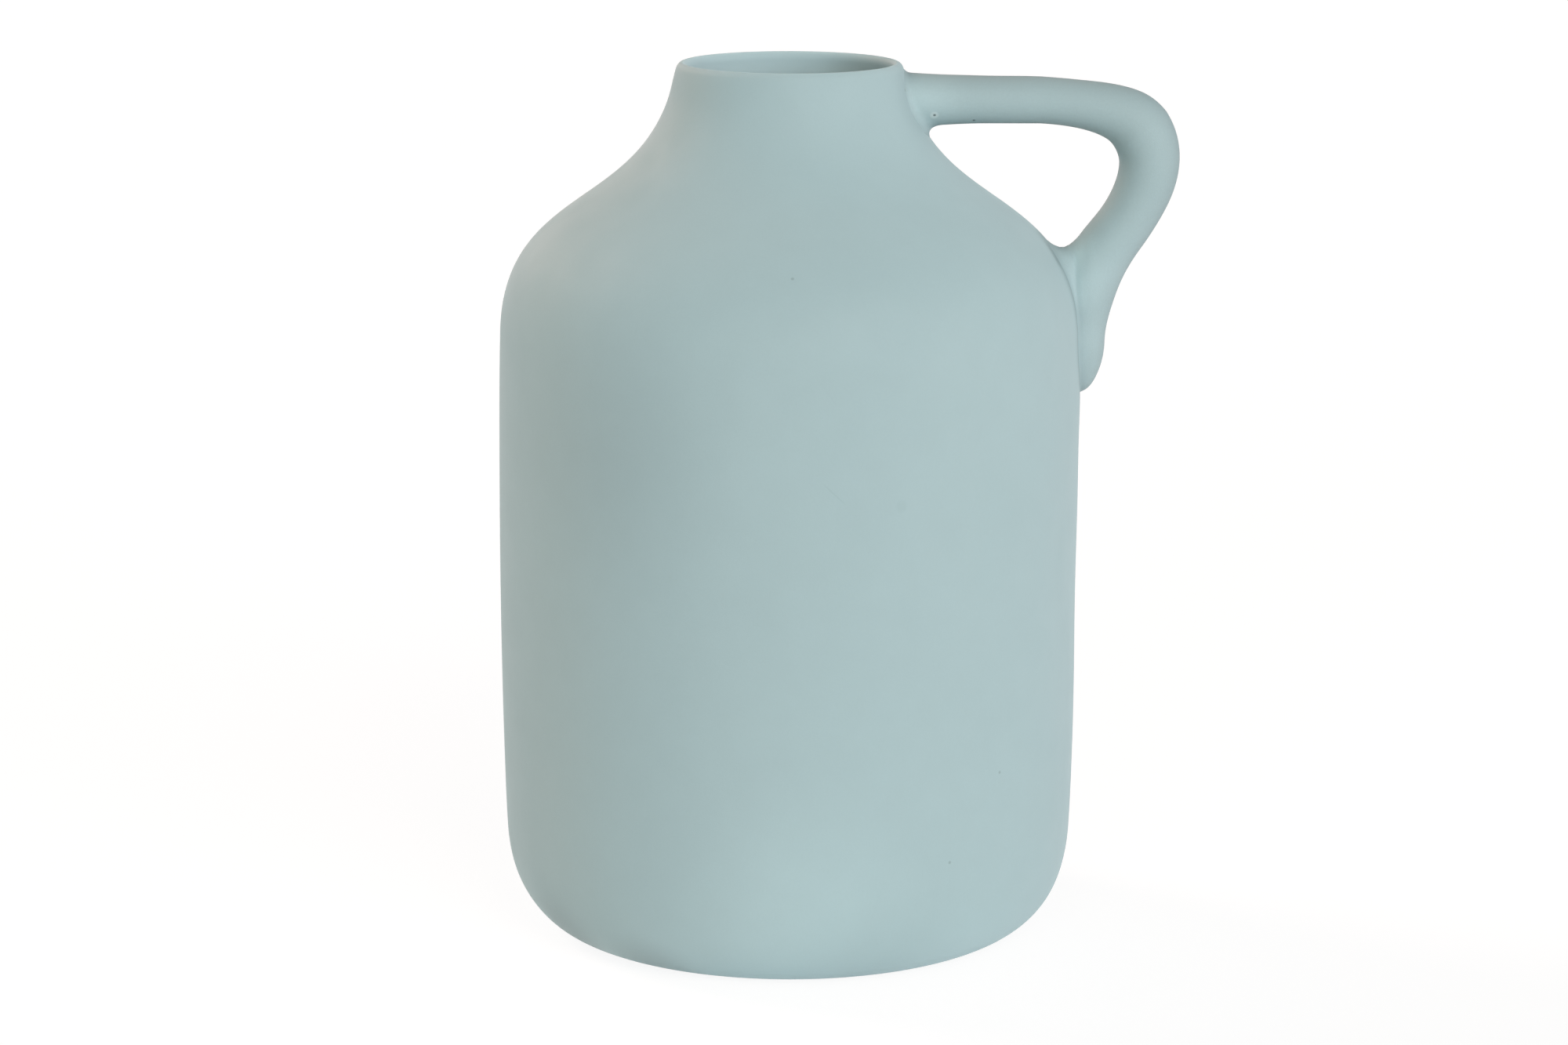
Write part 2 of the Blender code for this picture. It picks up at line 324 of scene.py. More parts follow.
def handle_stations():
    """Places along the bar's centreline with the radii there, and the place of the tail's tip."""
    bar_height = HEIGHT - BAR_DROP
    root_in = Vector((MOUTH_RADIUS - ROOT_RADIUS / 2, bar_height))
    root_out = root_in + Vector((ROOT_TAPER_LENGTH, 0))
    corner = Vector((BELLY_RADIUS - CORNER_START_INSIDE_BELLY, bar_height))
    crown = Vector((BELLY_RADIUS + CROWN_OUTSIDE_BELLY, HEIGHT - CROWN_DROP))
    leg = Vector((BELLY_RADIUS + LEG_OUTSIDE_BELLY, leg_height()))
    landing_height = HEIGHT - LANDING_DROP
    landing = Vector((wall_radius(landing_height), landing_height))
    down = direction(-math.pi / 2)
    root_curve = straight(root_in, root_out, ROOT_STEPS)
    bar_curve = straight(root_out, corner, BAR_STEPS)
    corner_curve = bezier(corner, direction(CORNER_START_TILT) * CORNER_START_PULL,
                          direction(CROWN_TILT) * CROWN_PULL_BEFORE, crown, CORNER_STEPS)
    leg_curve = bezier(crown, direction(CROWN_TILT) * CROWN_PULL_AFTER,
                       direction(LEG_TILT) * LEG_PULL_BEFORE, leg, LEG_STEPS)
    landing_curve = bezier(leg, direction(LEG_TILT) * LEG_PULL_AFTER,
                           down * LANDING_PULL, landing, LANDING_STEPS)

    stations = stretch(root_curve, ROOT_RADIUS, BAR_RADIUS, ease)
    stations += stretch(bar_curve, BAR_RADIUS, BAR_RADIUS, ease)
    stations += stretch(corner_curve, BAR_RADIUS, CROWN_RADIUS, swell)
    stations += stretch(leg_curve, CROWN_RADIUS, LEG_RADIUS, ease)
    stations += stretch(landing_curve, LEG_RADIUS, TAIL_RADIUS, ease)
    for step in range(TAIL_STEPS):
        turn = math.pi / 2 * step / TAIL_STEPS
        z = landing_height - TAIL_ROUND_LENGTH * math.sin(turn)
        stations.append((Vector((wall_radius(z), z)), TAIL_RADIUS * math.cos(turn)))
    tip_height = landing_height - TAIL_ROUND_LENGTH
    return stations, Vector((wall_radius(tip_height), tip_height))


def relaxed(rings):
    """Rings evened out where the bar's tight corner crowds or folds them on its inner side."""
    for _ in range(CORNER_RELAXINGS):
        before, after = rings[:-2], rings[2:]
        gap = np.linalg.norm(after - before, axis=2, keepdims=True)
        crowded = np.clip(1 - gap / (2 * CORNER_LEAST_STEP), 0, 1)
        rings[1:-1] += ((before + after) / 2 - rings[1:-1]) * crowded
    return rings


def swept_handle():
    """Points and quads of the handle's skin, from inside the neck to the tail's tip."""
    stations, tip = handle_stations()
    centres = [centre for centre, radius in stations]
    turns = math.tau * np.arange(AROUND_HANDLE) / AROUND_HANDLE
    rings = []
    for (centre, radius), right in zip(stations, normals_right(centres + [tip])):
        reach = (radius - FRAME_MARGIN) * np.cos(turns)
        rings.append(np.stack([centre.x - right.x * reach, (radius - FRAME_MARGIN) * np.sin(turns),
                               centre.y - right.y * reach], axis=1))
    rings = np.array(rings)
    corner_start = ROOT_STEPS + BAR_STEPS
    corner_end = corner_start + CORNER_STEPS + LEG_STEPS
    rings[corner_start:corner_end] = relaxed(rings[corner_start:corner_end])
    points = np.concatenate([rings.reshape(-1, 3), [(tip.x, 0, tip.y)]])
    faces = []
    for ring in range(len(stations) - 1):
        start = ring * AROUND_HANDLE
        for index in range(AROUND_HANDLE):
            beside = (index + 1) % AROUND_HANDLE
            faces.append((start + index, start + AROUND_HANDLE + index,
                          start + AROUND_HANDLE + beside, start + beside))
    last = (len(stations) - 1) * AROUND_HANDLE
    for index in range(AROUND_HANDLE):
        faces.append((last + index, len(points) - 1, last + (index + 1) % AROUND_HANDLE))
    faces.append(tuple(range(AROUND_HANDLE)))
    return points, faces


def point_normals(points, faces):
    """Smooth normals at the points of a mesh, each face counting by its area."""
    normals = np.zeros_like(points)
    for face in faces:
        corners = points[list(face)]
        area = np.cross(corners - corners[0], np.roll(corners, -1, axis=0) - corners[0]).sum(axis=0)
        normals[list(face)] += area
    return normals / np.linalg.norm(normals, axis=1, keepdims=True)


def above_pot(points, profile):
    """How far points stand off the pot's skin, and the pot's outward normals beneath them."""
    low = profile[:-1]
    run = profile[1:] - low
    across = np.hypot(points[:, 0], points[:, 1])
    place = np.stack([across, points[:, 2]], axis=1)
    share = ((place[:, None] - low) * run).sum(axis=2) / (run * run).sum(axis=1)
    away = place[:, None] - low - run * np.clip(share, 0, 1)[..., None]
    nearest = np.hypot(away[..., 0], away[..., 1]).argmin(axis=1)
    away = away[np.arange(len(points)), nearest]
    normal = np.stack([run[:, 1], -run[:, 0]], axis=1)[nearest]
    normal /= np.linalg.norm(normal, axis=1, keepdims=True)
    height = np.copysign(np.hypot(away[:, 0], away[:, 1]), (away * normal).sum(axis=1))
    angle = np.arctan2(points[:, 1], points[:, 0])
    height -= swelling(angle, points[:, 2]) * normal[:, 0]
    out = normal[:, 0] / across
    return height, np.stack([points[:, 0] * out, points[:, 1] * out, normal[:, 1]], axis=1)


def split(points, heights, faces, level):
    """The same skin with its faces cut in two along a height over the pot."""
    above = heights >= level
    new_points = []
    crossings = {}

    def crossing(start, end):
        key = (min(start, end), max(start, end))
        if key not in crossings:
            share = (level - heights[key[0]]) / (heights[key[1]] - heights[key[0]])
            crossings[key] = len(points) + len(new_points)
            new_points.append(points[key[0]] * (1 - share) + points[key[1]] * share)
        return crossings[key]

    new_faces = []
    for face in faces:
        count_above = sum(above[corner] for corner in face)
        if count_above in (0, len(face)):
            new_faces.append(face)
            continue
        sides = {True: [], False: []}
        for start, end in zip(face, face[1:] + face[:1]):
            sides[bool(above[start])].append(start)
            if above[start] != above[end]:
                between = crossing(start, end)
                sides[True].append(between)
                sides[False].append(between)
        new_faces += [tuple(side) for side in sides.values() if len(side) > 2]
    points = np.concatenate([points, new_points])
    heights = np.concatenate([heights, np.full(len(new_points), level)])
    return points, heights, new_faces


def smooth_out_onto_pot(points, heights, normals, profile):
    """The handle's points, with its ends spread along the pot in hollow rounds and seated on it again.

    Facing is how far the skin looks away from the pot, from -1 to 1, and along is the way it spreads.
    """
    outward = above_pot(points, profile)[1]
    facing = (normals * outward).sum(axis=1)
    along = normals - outward * facing[:, None]
    along /= np.maximum(np.linalg.norm(along, axis=1, keepdims=True), NEARLY_NOTHING)
    facing = np.clip(facing, -DEEPEST_UNDERCUT, DEEPEST_UNDERCUT)
    upness = along[:, 2]
    upper = points[:, 2] > leg_height()
    above = np.where(upper, UPPER_FILLET_ABOVE, LOWER_FILLET_ABOVE)
    beside = np.where(upper, UPPER_FILLET_BESIDE, LOWER_FILLET_BESIDE)
    below = np.where(upper, UPPER_FILLET_BELOW, LOWER_FILLET_BELOW)
    radius = beside + (above - beside) * np.maximum(upness, 0) ** 2
    radius += (below - beside) * np.maximum(-upness, 0) ** 2
    reach = radius * (1 - facing)
    height = np.minimum(np.maximum(heights, 0) + CREASE_BITE, reach)
    gap = (np.sqrt(reach) - np.sqrt(height)) ** 2
    points = points + along * (gap / np.sqrt(1 - facing ** 2))[:, None]
    for _ in range(SEATING_ROUNDS):
        reached, outward = above_pot(points, profile)
        points = points - outward * (reached - heights)[:, None]
    return points


def open_rims(faces):
    """Loops of points along the edges that only one face has, in the order that closes the skin."""
    edges = set()
    for face in faces:
        for start, end in zip(face, face[1:] + face[:1]):
            if (end, start) in edges:
                edges.remove((end, start))
            else:
                edges.add((start, end))
    following = {end: start for start, end in edges}
    rims = []
    while following:
        first, place = following.popitem()
        rim = [first]
        while place != first:
            rim.append(place)
            place = following.pop(place)
        rims.append(tuple(rim))
    return rims


# Nodes

# The colour sockets of Blender's Mix node, whose names repeat
MIX_FIRST = 6
MIX_SECOND = 7
MIX_RESULT = 2

# The values between which nearly all of Blender's noise lies
NOISE_LOW = 0.3
NOISE_HIGH = 0.7

# A streak fades over the first share of its length, and runs past its ends by the second
STREAK_FADE = 0.3
STREAK_OVERRUN = 0.05


class Nodes:
    """Short calls that add nodes to the tree of a new material or world and join them."""

    def __init__(self, owner):
        owner.use_nodes = True
        self.owner = owner
        self.tree = owner.node_tree
        self.tree.nodes.clear()

    def add(self, kind, **settings):
        node = self.tree.nodes.new(kind)
        for name, value in settings.items():
            setattr(node, name, value)
        return node

    def join(self, socket, value):
        if isinstance(value, bpy.types.NodeSocket):
            self.tree.links.new(value, socket)
        else:
            socket.default_value = value

    def joined(self, kind, *values, output=0, **settings):
        """An output of a new node whose first inputs get these numbers or outputs."""
        node = self.add(kind, **settings)
        for socket, value in zip(node.inputs, values):
            self.join(socket, value)
        return node.outputs[output]

    def show(self, kind, shader):
        """The end of the tree: a material's or a world's output, showing a shader."""
        self.join(self.add(kind).inputs["Surface"], shader)

    def math(self, operation, *values):
        return self.joined("ShaderNodeMath", *values, operation=operation)

    def seen_as_background(self):
        """One for rays that look at the background: from the camera, or off gloss, or through glass."""
        rays = self.add("ShaderNodeLightPath").outputs
        first = self.math("MAXIMUM", rays["Is Camera Ray"], rays["Is Glossy Ray"])
        return self.math("MAXIMUM", first, rays["Is Transmission Ray"])


class Surface(Nodes):
    """The nodes of a material that changes from place to place."""

    def __init__(self, name):
        super().__init__(bpy.data.materials.new(name))
        self.position = self.add("ShaderNodeTexCoord").outputs["Object"]

    def vector(self, operation, *values):
        return self.joined("ShaderNodeVectorMath", *values, operation=operation)

    def number(self, operation, *values):
        """The number that a vector operation gives."""
        return self.joined("ShaderNodeVectorMath", *values, output="Value", operation=operation)

    def scaled(self, vector, factor):
        node = self.add("ShaderNodeVectorMath", operation="SCALE")
        self.join(node.inputs[0], vector)
        self.join(node.inputs["Scale"], factor)
        return node.outputs[0]

    def range(self, *values, way="SMOOTHSTEP"):
        """A value taken from one range to another: value, low, high, new low, new high."""
        return self.joined("ShaderNodeMapRange", *values, interpolation_type=way)

    def noise(self, scale, detail=2.0, roughness=0.5, low=0.0, high=1.0):
        """Noise at so many waves per metre, spread between two values."""
        node = self.add("ShaderNodeTexNoise")
        self.join(node.inputs["Vector"], self.position)
        self.join(node.inputs["Scale"], scale)
        self.join(node.inputs["Detail"], detail)
        self.join(node.inputs["Roughness"], roughness)
        return self.range(node.outputs[0], NOISE_LOW, NOISE_HIGH, low, high, way="LINEAR")

    def height(self):
        return self.joined("ShaderNodeSeparateXYZ", self.position, output="Z")

    def attribute(self, name):
        return self.add("ShaderNodeAttribute", attribute_name=name).outputs["Fac"]

    def spot(self, place, radius, softness):
        """One inside a small round place on the surface, fading to nothing at its radius."""
        distance = self.number("DISTANCE", self.position, place)
        return self.range(distance, radius * (1 - softness), radius, 1, 0)

    def streak(self, start, end, width):
        """One along a thin line between two places, fading to nothing at its sides and ends."""
        run = Vector(end) - Vector(start)
        from_start = self.vector("SUBTRACT", self.position, start)
        along = self.number("DOT_PRODUCT", from_start, tuple(run))
        share = self.math("DIVIDE", along, run.length_squared)
        held = self.math("MINIMUM", self.math("MAXIMUM", share, 0), 1)
        nearest = self.vector("ADD", start, self.scaled(tuple(run), held))
        across = self.range(self.number("DISTANCE", self.position, nearest), 0, width, 1, 0)
        begins = self.range(share, -STREAK_OVERRUN, STREAK_FADE, 0, 1)
        ends = self.range(share, 1 - STREAK_FADE, 1 + STREAK_OVERRUN, 1, 0)
        return self.math("MULTIPLY", across, self.math("MULTIPLY", begins, ends))

    def tinted(self, colour, amount, towards, strength):
        """A colour taken towards another, by an amount that changes over the surface and a strength."""
        node = self.add("ShaderNodeMix", data_type="RGBA")
        self.join(node.inputs["Factor"], self.math("MULTIPLY", amount, strength))
        self.join(node.inputs[MIX_FIRST], colour)
        self.join(node.inputs[MIX_SECOND], (*towards, 1))
        return node.outputs[MIX_RESULT]

    def finish(self, colour, roughness, relief, relief_depth, specular, diffuse_roughness):
        """The material, with one shader that has this colour, roughness and relief."""
        shader = self.add("ShaderNodeBsdfPrincipled")
        shader.inputs["Specular IOR Level"].default_value = specular
        shader.inputs["Diffuse Roughness"].default_value = diffuse_roughness
        self.join(shader.inputs["Base Color"], colour)
        self.join(shader.inputs["Roughness"], roughness)
        bump = self.add("ShaderNodeBump")
        bump.inputs["Strength"].default_value = 1.0
        bump.inputs["Distance"].default_value = relief_depth
        self.join(bump.inputs["Height"], relief)
        self.join(shader.inputs["Normal"], bump.outputs[0])
        self.show("ShaderNodeOutputMaterial", shader.outputs[0])
        return self.owner


# Materials

GLAZE = (0.405, 0.530, 0.545)
# Deeper glaze for the hairlines and a spot, and painted shade along the handle's seams
GLAZE_DEEP_AND_PAINTED_SHADE = (0.300, 0.415, 0.425)
# Painted shade along the pot's seams and by the lower joint
GLAZE_PAINTED_SHADE = (0.215, 0.305, 0.315)
# Paler glaze round a pinhole, and on the lip thinner glaze with a painted highlight
GLAZE_THIN_AND_HIGHLIGHT = (0.520, 0.620, 0.620)
# Painted light inside the mouth
GLAZE_PAINTED_LIGHT_INSIDE = (0.590, 0.735, 0.755)
PIT = (0.110, 0.150, 0.155)
CLAY = (0.610, 0.560, 0.490)
IRON = (0.360, 0.270, 0.200)

POT_SPECULAR = 0.42
POT_DIFFUSE_ROUGHNESS = 0.7
HANDLE_SPECULAR = 0.20
HANDLE_DIFFUSE_ROUGHNESS = 0.0
CLAY_SPECULAR = 0.30
CLAY_DIFFUSE_ROUGHNESS = 0.9

# The glaze's mottling and grain: waves per metre, detail, and the change of shade up and down
MOTTLES = ((9, 2, 0.015), (85, 3, 0.008))
GRAIN = (1400, 2)

# Strength of the colour's grain, strength of the relief's powder, and depth of the relief in metres
POT_TEXTURE = (0.008, 0.55, 0.000018)
HANDLE_TEXTURE = (0.016, 1.0, 0.000022)
SEAM_TEXTURE = (0.012, 0.8, 0.000020)

# Noise that the glaze and the clay are made of
GLAZE_PEEL = {"scale": 420, "high": 0.6}
GLAZE_POWDER = {"scale": 2600}
GLAZE_ROUGHNESS = {"scale": 60, "low": 0.56, "high": 0.66}
CLAY_SAND = {"scale": 900, "detail": 3, "roughness": 0.65, "low": 0.90, "high": 1.08}
CLAY_IRON = {"scale": 1700, "detail": 1, "low": -1.6, "high": 1.2}
CLAY_ROUGHNESS = {"scale": 300, "low": 0.82, "high": 0.94}
CLAY_RELIEF = {"scale": 1500, "detail": 4, "roughness": 0.7}
CLAY_DEPTH = 0.00006

# How far the colour goes towards the glaze's other colours, partly painted shade and painted light, and
# to iron on the clay
POT_SEAM_SHADE_TINT = 0.90
HANDLE_SEAM_SHADE_TINT = 0.25
INSIDE_PAINTED_LIGHT_TINT = 1.0
LIP_THIN_AND_HIGHLIGHT_TINT = 0.12
LIP_PALE_HEIGHTS = (HEIGHT - 0.0030, HEIGHT - 0.0004)
IRON_TINT = 0.25

# The handle's shade goes from one to this between two heights, up towards the bar
BAR_SHADE = 0.87
BAR_SHADE_HEIGHTS = (0.212, 0.262)

# Painted light (positive) and painted shade in soft round places of the glaze, following how the light
# falls: the middle, the reach, and the change of shade
POT_PAINTED_LIGHT_AND_SHADE = (
    ((0.0050, -0.0930, 0.0360), 0.050, 0.08),
    ((0.0220, -0.0720, 0.0010), 0.045, -0.12),
    ((-0.0720, -0.0450, 0.0080), 0.024, -0.20),
    ((-0.0440, -0.0700, 0.0020), 0.022, -0.20),
    ((-0.0580, -0.0790, 0.1820), 0.060, -0.08),
)
# Painted light and painted shade over the handle, in soft round places
HANDLE_PAINTED_LIGHT_AND_SHADE = (
    ((0.0455, -0.0105, 0.2895), 0.018, 0.13),
    ((0.0970, -0.0105, 0.2270), 0.016, 0.07),
    ((0.0995, -0.0060, 0.2375), 0.009, 0.12),
    ((0.1090, -0.0085, 0.2170), 0.015, -0.07),
    ((0.1065, -0.0070, 0.1990), 0.012, -0.06),
)

# Painted light down the leg beside the lower seam, lifting the shade of the hollow round: from, to,
# half the width, and the change of shade
LEG_PAINTED_LIGHT = (
    ((0.0981, -0.0050, 0.2420), (0.0989, -0.0101, 0.2160), 0.0034, 0.18),
    ((0.0987, -0.0097, 0.2235), (0.1003, -0.0080, 0.1900), 0.0034, 0.07),
)

# Small marks of the firing: place, radius, softness of the edge, colour, strength, and depth
PINHOLE = (0.0488, -0.0075, 0.2829)
POT_SPOTS = (
    ((0.0010, -0.0876, 0.2393), 0.0007, 0.5, PIT, 0.30, 0),
    ((0.0705, -0.0695, 0.0705), 0.0007, 0.5, PIT, 0.30, 0),
    ((0.0536, -0.0823, 0.0430), 0.0007, 0.5, PIT, 0.30, 0),
    ((0.0388, -0.0098, 0.2916), 0.0007, 0.5, PIT, 0.30, 0),
    ((0.0365, -0.0924, 0.1657), 0.0026, 0.6, GLAZE_DEEP_AND_PAINTED_SHADE, 0.16, 0),
)
HANDLE_SPOTS = (
    (PINHOLE, 0.0018, 0.5, GLAZE_THIN_AND_HIGHLIGHT, 0.75, 0),
    (PINHOLE, 0.00065, 0.6, PIT, 0.85, 6.0),
    ((0.0622, -0.0048, 0.2809), 0.00065, 0.6, PIT, 0.85, 6.0),
)

# Two hairlines, and painted shade by the lower joint: from, to, half the width, colour, strength, and
# depth
POT_STREAKS = (
    ((0.0071, -0.0980, 0.2117), (0.0150, -0.0976, 0.2001), 0.00035, GLAZE_DEEP_AND_PAINTED_SHADE, 0.30, 0.6),
    ((0.0105, -0.0988, 0.1747), (0.0192, -0.0975, 0.1664), 0.00035, GLAZE_DEEP_AND_PAINTED_SHADE, 0.30, 0.6),
    # Painted shade by the lower joint
    ((0.0872, -0.0066, 0.2400), (0.0918, -0.0146, 0.2315), 0.0045, GLAZE_PAINTED_SHADE, 0.80, 0),
)


def glaze_colour(surface, grain, shade, light_and_shade_places):
    """The glaze's colour before marks: painted light and painted shade in soft places, faint mottling
    and fine grain.
    """
    for place, reach, change in light_and_shade_places:
        painted_spot = surface.spot(place, reach, softness=1)
        shade = surface.math("ADD", shade, surface.math("MULTIPLY", painted_spot, change))
    for scale, detail, change in (*MOTTLES, (*GRAIN, grain)):
        mottle = surface.noise(scale, detail=detail, low=1 - change, high=1 + change)
        shade = surface.math("MULTIPLY", shade, mottle)
    return surface.scaled(GLAZE, shade)


def glaze_relief(surface, powder):
    """The glaze's relief: a faint orange peel and a powdery grain."""
    return surface.math("ADD", surface.noise(**GLAZE_PEEL), surface.noise(**GLAZE_POWDER, high=powder))


def marked(surface, colour, relief, spots, streaks):
    """A colour and a relief with the marks of the firing, some of them pressed in."""
    marks = [(surface.spot(place, radius, softness), *look) for place, radius, softness, *look in spots]
    marks += [(surface.streak(start, end, width), *look) for start, end, width, *look in streaks]
    for amount, towards, strength, depth in marks:
        colour = surface.tinted(colour, amount, towards, strength)
        if depth:
            relief = surface.math("SUBTRACT", relief, surface.math("MULTIPLY", amount, depth))
    return colour, relief


def pot_glaze():
    grain, powder, depth = POT_TEXTURE
    surface = Surface("pot_glaze")
    colour = glaze_colour(surface, grain, 1, POT_PAINTED_LIGHT_AND_SHADE)
    # Painted shade along the seams
    colour = surface.tinted(colour, surface.attribute("seam_shade"), GLAZE_PAINTED_SHADE, POT_SEAM_SHADE_TINT)
    # Painted light inside the mouth, strongest on its left
    colour = surface.tinted(colour, surface.attribute("inside"), GLAZE_PAINTED_LIGHT_INSIDE, INSIDE_PAINTED_LIGHT_TINT)
    # Paler towards the lip's top: thinner glaze on the edge and a painted highlight
    lip = surface.range(surface.height(), *LIP_PALE_HEIGHTS, 0, 1)
    colour = surface.tinted(colour, lip, GLAZE_THIN_AND_HIGHLIGHT, LIP_THIN_AND_HIGHLIGHT_TINT)
    colour, relief = marked(surface, colour, glaze_relief(surface, powder), POT_SPOTS, POT_STREAKS)
    rough = surface.noise(**GLAZE_ROUGHNESS)
    return surface.finish(colour, rough, relief, depth, POT_SPECULAR, POT_DIFFUSE_ROUGHNESS)


def bar_glaze(name, texture, spots):
    grain, powder, depth = texture
    surface = Surface(name)
    shade = surface.range(surface.height(), *BAR_SHADE_HEIGHTS, 1, BAR_SHADE)
    # Painted light down the leg beside the lower seam
    for start, end, width, change in LEG_PAINTED_LIGHT:
        pale = surface.streak(start, end, width)
        shade = surface.math("ADD", shade, surface.math("MULTIPLY", pale, change))
    # Painted light and painted shade in soft places over the handle
    colour = glaze_colour(surface, grain, shade, HANDLE_PAINTED_LIGHT_AND_SHADE)
    # Painted shade along the seams
    colour = surface.tinted(colour, surface.attribute("seam_shade"), GLAZE_DEEP_AND_PAINTED_SHADE, HANDLE_SEAM_SHADE_TINT)
    colour, relief = marked(surface, colour, glaze_relief(surface, powder), spots, ())
    rough = surface.noise(**GLAZE_ROUGHNESS)
    return surface.finish(colour, rough, relief, depth, HANDLE_SPECULAR, HANDLE_DIFFUSE_ROUGHNESS)


def bare_clay():
    surface = Surface("bare_clay")
    colour = surface.scaled(CLAY, surface.noise(**CLAY_SAND))
    specks = surface.math("MAXIMUM", surface.noise(**CLAY_IRON), 0)
    colour = surface.tinted(colour, specks, IRON, IRON_TINT)
    rough = surface.noise(**CLAY_ROUGHNESS)
    relief = surface.noise(**CLAY_RELIEF)
    return surface.finish(colour, rough, relief, CLAY_DEPTH, CLAY_SPECULAR, CLAY_DIFFUSE_ROUGHNESS)


# Pieces

def piece(name, points, faces, materials, node, layers, normals=None):
    """A named object that stands for a node of the frame and moves with it."""
    mesh = bpy.data.meshes.new(name)
    mesh.from_pydata([tuple(point) for point in points], [], faces)
    for material in materials:
        mesh.materials.append(material)
    mesh.shade_smooth()
    for layer_name, values in layers.items():
        layer = mesh.attributes.new(layer_name, "FLOAT", "POINT")
        layer.data.foreach_set("value", np.asarray(values, np.float32))
    if normals is not None:
        corner_normals = []
        for polygon, own in zip(mesh.polygons, normals):
            if own is None:
                corner_normals += [tuple(polygon.normal)] * polygon.loop_total
            else:
                corner_normals += [tuple(normal) for normal in own]
        mesh.normals_split_custom_set(corner_normals)
    item = bpy.data.objects.new(name, mesh)
    bpy.context.scene.collection.objects.link(item)
    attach(item, ROOT_BODY)
    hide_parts(node)
    return item


def handle_piece(name, skin, material, node):
    """A closed piece cut from the handle's skin, with flat hidden caps over its open rims."""
    points, normals, heights, faces = skin
    caps = open_rims(faces)
    corner_normals = [normals[list(face)] for face in faces] + [None] * len(caps)
    # Painted shade along the seam, strongest next to the pot
    strength = np.where(points[:, 2] > leg_height(), UPPER_SEAM_SHADE, 1)
    seam_shade = strength * bell(np.maximum(heights, 0), HANDLE_SEAM_SHADE_WIDTH)
    piece(name, points, faces + caps, [material], node, {"seam_shade": seam_shade}, corner_normals)


def pick(skin, chosen):
    """The faces of a skin whose points are all chosen."""
    points, normals, heights, faces = skin
    renumbered = np.cumsum(chosen) - 1
    picked = [tuple(int(renumbered[corner]) for corner in face)
              for face in faces if all(chosen[corner] for corner in face)]
    return points[chosen], normals[chosen], heights[chosen], picked


def build_handle():
    """The glazed handle and the two seams; returns the seams' points on the pot's skin."""
    profile = np.array([tuple(point) for point in outside()])
    points, faces = swept_handle()
    points = uneven(points, point_normals(points, faces))
    heights = above_pot(points, profile)[0]
    for level in FILLET_LEVELS:
        points, heights, faces = split(points, heights, faces, level)
    points = smooth_out_onto_pot(points, heights, point_normals(points, faces), profile)
    skin = points, point_normals(points, faces), heights, faces
    glaze = bar_glaze("handle_glaze", HANDLE_TEXTURE, HANDLE_SPOTS)
    handle_piece("glazed_handle", pick(skin, heights >= SLIP_TOP), glaze, "handle")
    in_band = (heights >= -SLIP_SINK) & (heights <= SLIP_TOP)
    upper = points[:, 2] > leg_height()
    seams = (("upper_seam", "upper_slip_joint", upper), ("lower_seam", "lower_slip_joint", ~upper))
    seam_points = []
    for name, node, chosen in seams:
        part = pick(skin, in_band & chosen)
        handle_piece(name, part, bar_glaze("seam_glaze", SEAM_TEXTURE, ()), node)
        seam_points.append(part[0][part[2] == 0])
    return np.concatenate(seam_points)


# Where painted light makes the inside's glaze paler, for the light falling in on its left: places from
# left to right, places from the floor up, and the shares
INSIDE_PAINTED_LIGHT_ACROSS = ((0.012, 0.030), (1, 0))
INSIDE_PAINTED_LIGHT_UP = ((HEIGHT - 0.006, HEIGHT - 0.001), (1, 0.5))

# Where the glaze ends on the underside: its radius, and waves of it as count, start and height
GLAZE_STOP_RADIUS = 0.0755
GLAZE_STOP_WAVES = ((5, 0.4, 0.0002), (11, 2.1, 0.00012), (23, 0, 0.00008))

# The foot's disc: rings as shares of its radius, and the height below which a face is underside
UNDERSIDE_RINGS = (0.35, 0.7, 0.97)
UNDERSIDE_HEIGHT = 0.001
SHARP_ANGLE = math.radians(50)


def pot_angles():
    """Angles round the pot from the handle, close together near it and wider apart behind."""
    shares = np.arange(AROUND_POT) / AROUND_POT
    return math.tau * shares - CROWDING_AT_HANDLE * np.sin(math.tau * shares)


def glaze_stop(angle):
    """The radius on the underside at which the glaze ends, a little uneven all round."""
    return GLAZE_STOP_RADIUS + sum(most * math.sin(count * angle + start)
                                   for count, start, most in GLAZE_STOP_WAVES)


def painted_seam_shade(points, seam_points):
    """How strongly painted shade darkens points of the pot's skin, by how near the seams they are."""
    near = KDTree(len(seam_points))
    for index, place in enumerate(seam_points):
        near.insert(place, index)
    near.balance()
    distance = np.array([near.find(point)[2] for point in points])
    upper = points[:, 2] > leg_height()
    strength = np.where(upper, UPPER_SEAM_SHADE, LOWER_SEAM_SHADE)
    width = np.where(upper, UPPER_SEAM_SHADE_WIDTH, LOWER_SEAM_SHADE_WIDTH)
    return strength * bell(distance, width)


def pot_faces(ring_count, columns):
    """Quads between the rings, and fans to the two last points, which close the foot and the floor."""
    faces = []
    for ring in range(ring_count - 1):
        low = ring * columns
        high = low + columns
        for column in range(columns):
            beside = (column + 1) % columns
            faces.append((low + beside, high + beside, high + column, low + column))
    foot_centre = ring_count * columns
    last = foot_centre - columns
    for column in range(columns):
        beside = (column + 1) % columns
        faces.append((foot_centre, beside, column))
        faces.append((foot_centre + 1, last + column, last + beside))
    return faces


